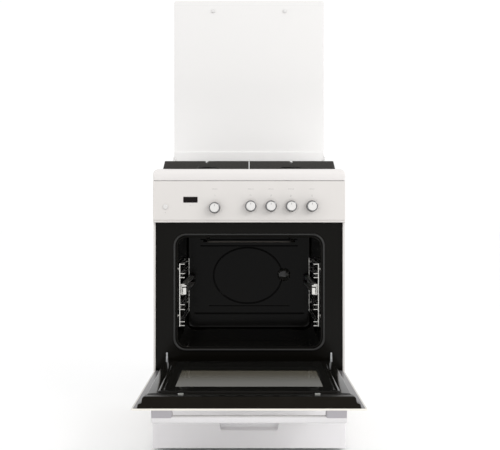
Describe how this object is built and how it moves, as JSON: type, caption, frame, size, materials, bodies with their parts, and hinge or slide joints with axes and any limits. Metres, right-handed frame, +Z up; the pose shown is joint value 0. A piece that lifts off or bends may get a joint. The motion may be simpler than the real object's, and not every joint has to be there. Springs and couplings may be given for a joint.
{
  "type": "freestanding gas range",
  "caption": "Freestanding gas range with a drop-down oven door, raised glass lid, control knobs, cast pan supports and a storage drawer below.",
  "frame": {"origin": "bottom centre of the box that encloses the range at rest, with its oven door open, on the floor", "axes": "+X to the right as seen from the front, +Y to the back, +Z up"},
  "size_m": [0.6, 1.046, 1.57],
  "materials": {
    "white_enamel": "glossy vitreous enamel",
    "black_enamel": "glossy speckled enamel",
    "galvanised": "satin zinc",
    "zinc_screws": "satin",
    "black_feet": "matt",
    "mineral_wool": "fibrous",
    "burner_steel": "heat-dulled",
    "chrome_wire": "bright",
    "lamp_ceramic": "unglazed",
    "lamp_glass": "clear",
    "seal_rubber": "matt",
    "display_glass": "glossy",
    "module_plastic": "matt",
    "button_plastic": "satin",
    "knob_plastic": "satin, metallised ring",
    "brass_gas": "cast",
    "spindle_steel": "turned",
    "gas_pipe": "drawn",
    "burner_aluminium": "die-cast",
    "electrode_ceramic": "glazed tip",
    "cast_iron": "matt enamel",
    "lid_glass": "frosted white print",
    "lid_metal": "satin",
    "lid_rubber": "matt",
    "door_glass_white": "back-printed white",
    "door_glass_dark": "black print, clear window",
    "door_trim": "satin",
    "handle_white": "satin"
  },
  "bodies": {
    "range": {"base_frame": "galvanised", "burner_caps": "black_enamel", "burner_crowns": "burner_aluminium", "burner_cups": "burner_aluminium", "burner_tray": "galvanised", "casing_screws": "zinc_screws", "control_modules": "module_plastic", "control_panel": "white_enamel", "display_window": "display_glass", "door_seal": "seal_rubber", "drawer_guides": "galvanised", "front_frame": "black_enamel", "gas_pipes": "gas_pipe", "gas_valves": "brass_gas", "grill_element": "burner_steel", "heat_shield": "galvanised", "hinge_receivers": "galvanised", "ignition_electrodes": "electrode_ceramic", "lamp_glass": "lamp_glass", "lamp_holder": "lamp_ceramic", "levelling_feet": "black_feet", "lid_hinge_brackets": "lid_metal", "mains_terminal_box": "module_plastic", "oven_burner": "burner_steel", "oven_cavity": "black_enamel", "oven_floor_plate": "black_enamel", "oven_jacket": "mineral_wool", "pan_support_left": "cast_iron", "pan_support_right": "cast_iron", "rear_panel": "galvanised", "runner_rails": "chrome_wire", "shelf_rack_left": "chrome_wire", "shelf_rack_right": "chrome_wire", "side_panel_left": "white_enamel", "side_panel_right": "white_enamel", "worktop": "white_enamel"},
    "oven_door": {"door_outer_glass": "door_glass_white", "door_frame": "black_enamel", "door_inner_glass": "door_glass_dark", "door_top_trim": "door_trim", "door_handle": "handle_white", "door_hinges": "galvanised"},
    "glass_lid": {"lid_glass": "lid_glass", "lid_hinge_rail": "lid_metal", "lid_bumpers": "lid_rubber"},
    "drawer": {"drawer_front": "white_enamel", "drawer_tray": "galvanised"},
    "left_runner": {"runner_slide_left": "chrome_wire"},
    "right_runner": {"runner_slide_right": "chrome_wire"},
    "spark_button": {"ignition_button": "button_plastic"},
    "valve_oven": {"spindle_oven": "spindle_steel"},
    "dial_oven": {"knob_oven": "knob_plastic"},
    "valve_front_left": {"spindle_front_left": "spindle_steel"},
    "dial_front_left": {"knob_front_left": "knob_plastic"},
    "valve_rear_left": {"spindle_rear_left": "spindle_steel"},
    "dial_rear_left": {"knob_rear_left": "knob_plastic"},
    "valve_rear_right": {"spindle_rear_right": "spindle_steel"},
    "dial_rear_right": {"knob_rear_right": "knob_plastic"},
    "valve_front_right": {"spindle_front_right": "spindle_steel"},
    "dial_front_right": {"knob_front_right": "knob_plastic"}
  },
  "joints": [
    {"name": "door_hinge", "type": "hinge", "parent": "range", "child": "oven_door", "pos_m": [0, -0.077, 0.261], "axis": [1, 0, 0], "range_deg": [-90, 0]},
    {"name": "lid_hinge", "type": "hinge", "parent": "range", "child": "glass_lid", "pos_m": [0, 0.509, 0.95], "axis": [1, 0, 0], "range_deg": [0, 90]},
    {"name": "drawer_slide", "type": "slide", "parent": "range", "child": "drawer", "axis": [0, -1, 0], "range_m": [0, 0.38]},
    {"name": "left_runner_slide", "type": "slide", "parent": "range", "child": "left_runner", "axis": [0, -1, 0], "range_m": [0, 0.3]},
    {"name": "right_runner_slide", "type": "slide", "parent": "range", "child": "right_runner", "axis": [0, -1, 0], "range_m": [0, 0.3]},
    {"name": "spark_button_press", "type": "slide", "parent": "range", "child": "spark_button", "axis": [0, 1, 0], "range_m": [0, 0.003], "stiffness_N_per_m": 300},
    {"name": "turn_oven", "type": "hinge", "parent": "range", "child": "valve_oven", "pos_m": [-0.107, -0.077, 0.756], "axis": [0, 1, 0], "range_deg": [-270, 0]},
    {"name": "press_oven", "type": "slide", "parent": "valve_oven", "child": "dial_oven", "axis": [0, 1, 0], "range_m": [0, 0.004], "stiffness_N_per_m": 400},
    {"name": "turn_front_left", "type": "hinge", "parent": "range", "child": "valve_front_left", "pos_m": [0.005, -0.077, 0.761], "axis": [0, 1, 0], "range_deg": [-210, 0]},
    {"name": "press_front_left", "type": "slide", "parent": "valve_front_left", "child": "dial_front_left", "axis": [0, 1, 0], "range_m": [0, 0.004], "stiffness_N_per_m": 400},
    {"name": "turn_rear_left", "type": "hinge", "parent": "range", "child": "valve_rear_left", "pos_m": [0.068, -0.077, 0.761], "axis": [0, 1, 0], "range_deg": [-210, 0]},
    {"name": "press_rear_left", "type": "slide", "parent": "valve_rear_left", "child": "dial_rear_left", "axis": [0, 1, 0], "range_m": [0, 0.004], "stiffness_N_per_m": 400},
    {"name": "turn_rear_right", "type": "hinge", "parent": "range", "child": "valve_rear_right", "pos_m": [0.131, -0.077, 0.761], "axis": [0, 1, 0], "range_deg": [-210, 0]},
    {"name": "press_rear_right", "type": "slide", "parent": "valve_rear_right", "child": "dial_rear_right", "axis": [0, 1, 0], "range_m": [0, 0.004], "stiffness_N_per_m": 400},
    {"name": "turn_front_right", "type": "hinge", "parent": "range", "child": "valve_front_right", "pos_m": [0.195, -0.077, 0.761], "axis": [0, 1, 0], "range_deg": [-210, 0]},
    {"name": "press_front_right", "type": "slide", "parent": "valve_front_right", "child": "dial_front_right", "axis": [0, 1, 0], "range_m": [0, 0.004], "stiffness_N_per_m": 400}
  ]
}
